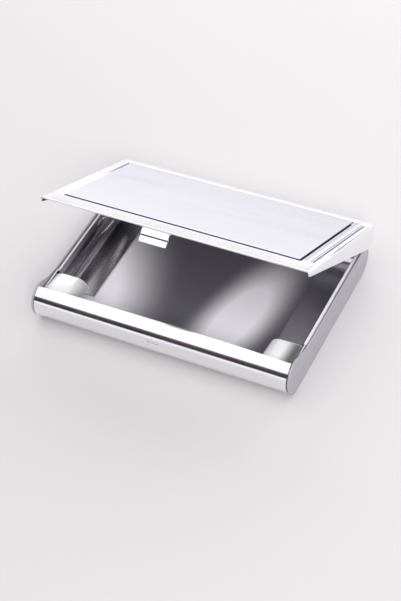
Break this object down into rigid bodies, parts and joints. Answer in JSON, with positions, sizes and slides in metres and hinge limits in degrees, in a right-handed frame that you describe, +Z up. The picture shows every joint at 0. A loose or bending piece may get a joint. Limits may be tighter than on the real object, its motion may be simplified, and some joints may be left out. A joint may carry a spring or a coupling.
{
  "type": "business card case",
  "caption": "Slim hinged metal case for business cards, with a rolled front edge, an inset lid panel and a spring thumb tab.",
  "frame": {"origin": "middle of the flat underside, on the surface that the closed or open case rests on", "axes": "+X along the case's length, -Y towards the rolled front edge, +Y towards the hinge, +Z up"},
  "size_m": [0.0956, 0.0693, 0.0404],
  "materials": {
    "polished_steel": "polished",
    "mirror_liner": "mirror",
    "satin_plate": "fine satin",
    "satin_panel": "fine satin",
    "spring_steel": "bright",
    "hinge_steel": "bright drawn",
    "bond_film": "matt"
  },
  "bodies": {
    "base": {"base_shell": "polished_steel", "left_end_plate": "satin_plate", "right_end_plate": "satin_plate", "floor_liner": "mirror_liner", "left_side_liner": "mirror_liner", "right_side_liner": "mirror_liner", "left_corner_clip": "spring_steel", "right_corner_clip": "spring_steel", "catch_spring": "spring_steel", "base_hinge_leaf": "hinge_steel", "hinge_pin": "hinge_steel"},
    "lid": {"lid_shell": "polished_steel", "lid_panel": "satin_panel", "panel_bond_sheet": "bond_film", "thumb_tab": "spring_steel", "lid_hinge_leaf": "hinge_steel"}
  },
  "joints": [
    {"name": "lid_hinge", "type": "hinge", "parent": "base", "child": "lid", "pos_m": [0, 0.0344, 0.00592], "axis": [-1, 0, 0], "range_deg": [-27.8, 82]}
  ]
}
